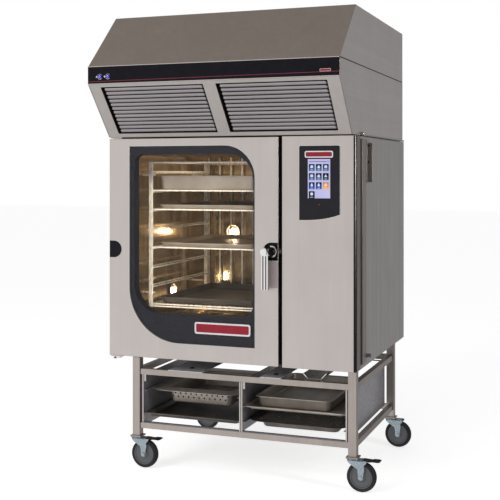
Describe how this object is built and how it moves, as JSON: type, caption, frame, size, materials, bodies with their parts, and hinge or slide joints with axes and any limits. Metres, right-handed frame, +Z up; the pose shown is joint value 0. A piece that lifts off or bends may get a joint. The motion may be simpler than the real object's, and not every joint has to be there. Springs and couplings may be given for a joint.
{
  "type": "combi steamer oven",
  "caption": "Commercial combi steamer oven with a windowed door, touch controls, a ventless hood above and a wheeled stand with pan racks below.",
  "frame": {"origin": "middle of the object's footprint on the floor", "axes": "+Z up, -Y out of the door and hood front, +X to the right when facing the front"},
  "size_m": [1.2274, 1.1884, 2.008],
  "materials": {
    "black_gloss": "gloss",
    "black_plastic": "matte",
    "brushed_steel": "satin",
    "button_blue": "gloss",
    "cavity_steel": "satin",
    "chrome": "polished",
    "galvanised": "satin",
    "glass": "clear",
    "heater_steel": "satin",
    "hood_steel": "satin",
    "lamp_glass": "clear",
    "motor_paint": "satin",
    "pan_steel": "satin",
    "screen": "gloss",
    "seal_rubber": "matte",
    "slate": "satin",
    "stand_steel": "satin",
    "tyre_grey": "matte",
    "zinc": "satin"
  },
  "bodies": {
    "oven": {"baking_tray_lower": "pan_steel", "baking_tray_upper": "pan_steel", "cabinet_back": "brushed_steel", "cabinet_base": "brushed_steel", "cabinet_left_side": "brushed_steel", "cabinet_right_side": "brushed_steel", "cabinet_top": "brushed_steel", "cavity_lamp": "lamp_glass", "cavity_liner": "cavity_steel", "control_panel": "brushed_steel", "display_bezel": "slate", "door_gasket": "seal_rubber", "door_hinge_bottom": "chrome", "door_hinge_top": "chrome", "fan_baffle": "cavity_steel", "fan_motor": "motor_paint", "heating_element": "heater_steel", "hood_blower_motor": "motor_paint", "hood_fascia": "black_gloss", "hood_shell": "hood_steel", "oven_rack": "chrome", "pan_rack_left": "galvanised", "pan_rack_right": "galvanised", "roasting_pan": "pan_steel", "stand_frame": "stand_steel", "steam_pan_deep": "pan_steel", "support_plank_left": "galvanised", "support_plank_right": "galvanised", "touch_screen": "screen", "wire_shelf_1": "chrome", "wire_shelf_2": "chrome", "wire_shelf_3": "chrome", "wire_shelf_4": "chrome"},
    "door": {"door_frame": "brushed_steel", "door_glass_outer": "glass", "door_glass_inner": "glass", "handle_cup": "black_plastic"},
    "lever": {"door_lever": "chrome"},
    "tongue": {"latch_tongue": "chrome"},
    "oven_fan": {"fan_wheel": "cavity_steel"},
    "hood_blower": {"hood_blower_wheel": "galvanised"},
    "filter_left": {"baffle_filter_left": "brushed_steel"},
    "filter_right": {"baffle_filter_right": "brushed_steel"},
    "fan_button": {"hood_fan_button": "button_blue"},
    "lamp_button": {"hood_lamp_button": "button_blue"},
    "pan_low_left": {"sheet_pan_left": "pan_steel"},
    "pan_high_left": {"perforated_pan": "pan_steel"},
    "pan_high_right": {"sheet_pan_right": "pan_steel", "steam_pan_solid": "pan_steel"},
    "pan_low_right": {"mesh_pan": "pan_steel"},
    "fork_front_left": {"caster_fork_front_left": "zinc"},
    "wheel_front_left": {"caster_wheel_front_left": "tyre_grey"},
    "brake_front_left": {"brake_pedal_front_left": "black_plastic"},
    "fork_front_right": {"caster_fork_front_right": "zinc"},
    "wheel_front_right": {"caster_wheel_front_right": "tyre_grey"},
    "brake_front_right": {"brake_pedal_front_right": "black_plastic"},
    "fork_rear_left": {"caster_fork_rear_left": "zinc"},
    "wheel_rear_left": {"caster_wheel_rear_left": "tyre_grey"},
    "fork_rear_right": {"caster_fork_rear_right": "zinc"},
    "wheel_rear_right": {"caster_wheel_rear_right": "tyre_grey"}
  },
  "joints": [
    {"name": "door_swing", "type": "hinge", "parent": "oven", "child": "door", "pos_m": [-0.59775, -0.37285, 0.495], "axis": [0, 0, -1], "range_deg": [0, 120]},
    {"name": "lever_turn", "type": "hinge", "parent": "door", "child": "lever", "pos_m": [0.13425, -0.44285, 0.979], "axis": [0, 1, 0], "range_deg": [0, 90]},
    {"name": "tongue_slide", "type": "slide", "parent": "door", "child": "tongue", "axis": [1, 0, 0], "range_m": [-0.01, 0]},
    {"name": "oven_fan_spin", "type": "hinge", "parent": "oven", "child": "oven_fan", "pos_m": [0.21625, 0.03565, 1.0025], "axis": [1, 0, 0], "continuous": true},
    {"name": "hood_blower_spin", "type": "hinge", "parent": "oven", "child": "hood_blower", "pos_m": [-0.05575, 0.16315, 1.908], "axis": [0, 0, 1], "continuous": true},
    {"name": "filter_left_pull", "type": "slide", "parent": "oven", "child": "filter_left", "axis": [0, -0.7603, -0.6496], "range_m": [0, 0.06]},
    {"name": "filter_right_pull", "type": "slide", "parent": "oven", "child": "filter_right", "axis": [0, -0.7603, -0.6496], "range_m": [0, 0.06]},
    {"name": "fan_button_press", "type": "slide", "parent": "oven", "child": "fan_button", "axis": [0, 1, 0], "range_m": [0, 0.003], "stiffness_N_per_m": 400},
    {"name": "lamp_button_press", "type": "slide", "parent": "oven", "child": "lamp_button", "axis": [0, 1, 0], "range_m": [0, 0.003], "stiffness_N_per_m": 400},
    {"name": "pan_low_left_slide", "type": "slide", "parent": "oven", "child": "pan_low_left", "axis": [0, -1, 0], "range_m": [0, 0.45]},
    {"name": "pan_high_left_slide", "type": "slide", "parent": "oven", "child": "pan_high_left", "axis": [0, -1, 0], "range_m": [0, 0.45]},
    {"name": "pan_high_right_slide", "type": "slide", "parent": "oven", "child": "pan_high_right", "axis": [0, -1, 0], "range_m": [0, 0.45]},
    {"name": "pan_low_right_slide", "type": "slide", "parent": "oven", "child": "pan_low_right", "axis": [0, -1, 0], "range_m": [0, 0.45]},
    {"name": "swivel_front_left", "type": "hinge", "parent": "oven", "child": "fork_front_left", "pos_m": [-0.49225, -0.35735, 0.142], "axis": [0, 0, 1], "continuous": true},
    {"name": "roll_front_left", "type": "hinge", "parent": "fork_front_left", "child": "wheel_front_left", "pos_m": [-0.45625, -0.35735, 0.0625], "axis": [0, 1, 0], "continuous": true},
    {"name": "brake_front_left_press", "type": "hinge", "parent": "fork_front_left", "child": "brake_front_left", "pos_m": [-0.43425, -0.35735, 0.132], "axis": [0, 1, 0], "range_deg": [0, 12]},
    {"name": "swivel_front_right", "type": "hinge", "parent": "oven", "child": "fork_front_right", "pos_m": [0.49675, -0.35735, 0.142], "axis": [0, 0, 1], "continuous": true},
    {"name": "roll_front_right", "type": "hinge", "parent": "fork_front_right", "child": "wheel_front_right", "pos_m": [0.53275, -0.35735, 0.0625], "axis": [0, 1, 0], "continuous": true},
    {"name": "brake_front_right_press", "type": "hinge", "parent": "fork_front_right", "child": "brake_front_right", "pos_m": [0.55475, -0.35735, 0.132], "axis": [0, 1, 0], "range_deg": [0, 12]},
    {"name": "swivel_rear_left", "type": "hinge", "parent": "oven", "child": "fork_rear_left", "pos_m": [-0.49225, 0.35365, 0.142], "axis": [0, 0, 1], "continuous": true},
    {"name": "roll_rear_left", "type": "hinge", "parent": "fork_rear_left", "child": "wheel_rear_left", "pos_m": [-0.45625, 0.35365, 0.0625], "axis": [0, 1, 0], "continuous": true},
    {"name": "swivel_rear_right", "type": "hinge", "parent": "oven", "child": "fork_rear_right", "pos_m": [0.49675, 0.35365, 0.142], "axis": [0, 0, 1], "continuous": true},
    {"name": "roll_rear_right", "type": "hinge", "parent": "fork_rear_right", "child": "wheel_rear_right", "pos_m": [0.53275, 0.35365, 0.0625], "axis": [0, 1, 0], "continuous": true}
  ],
  "couplings": [
    {"joint": "tongue_slide", "follows": "lever_turn", "m_per_rad": -0.0063}
  ]
}
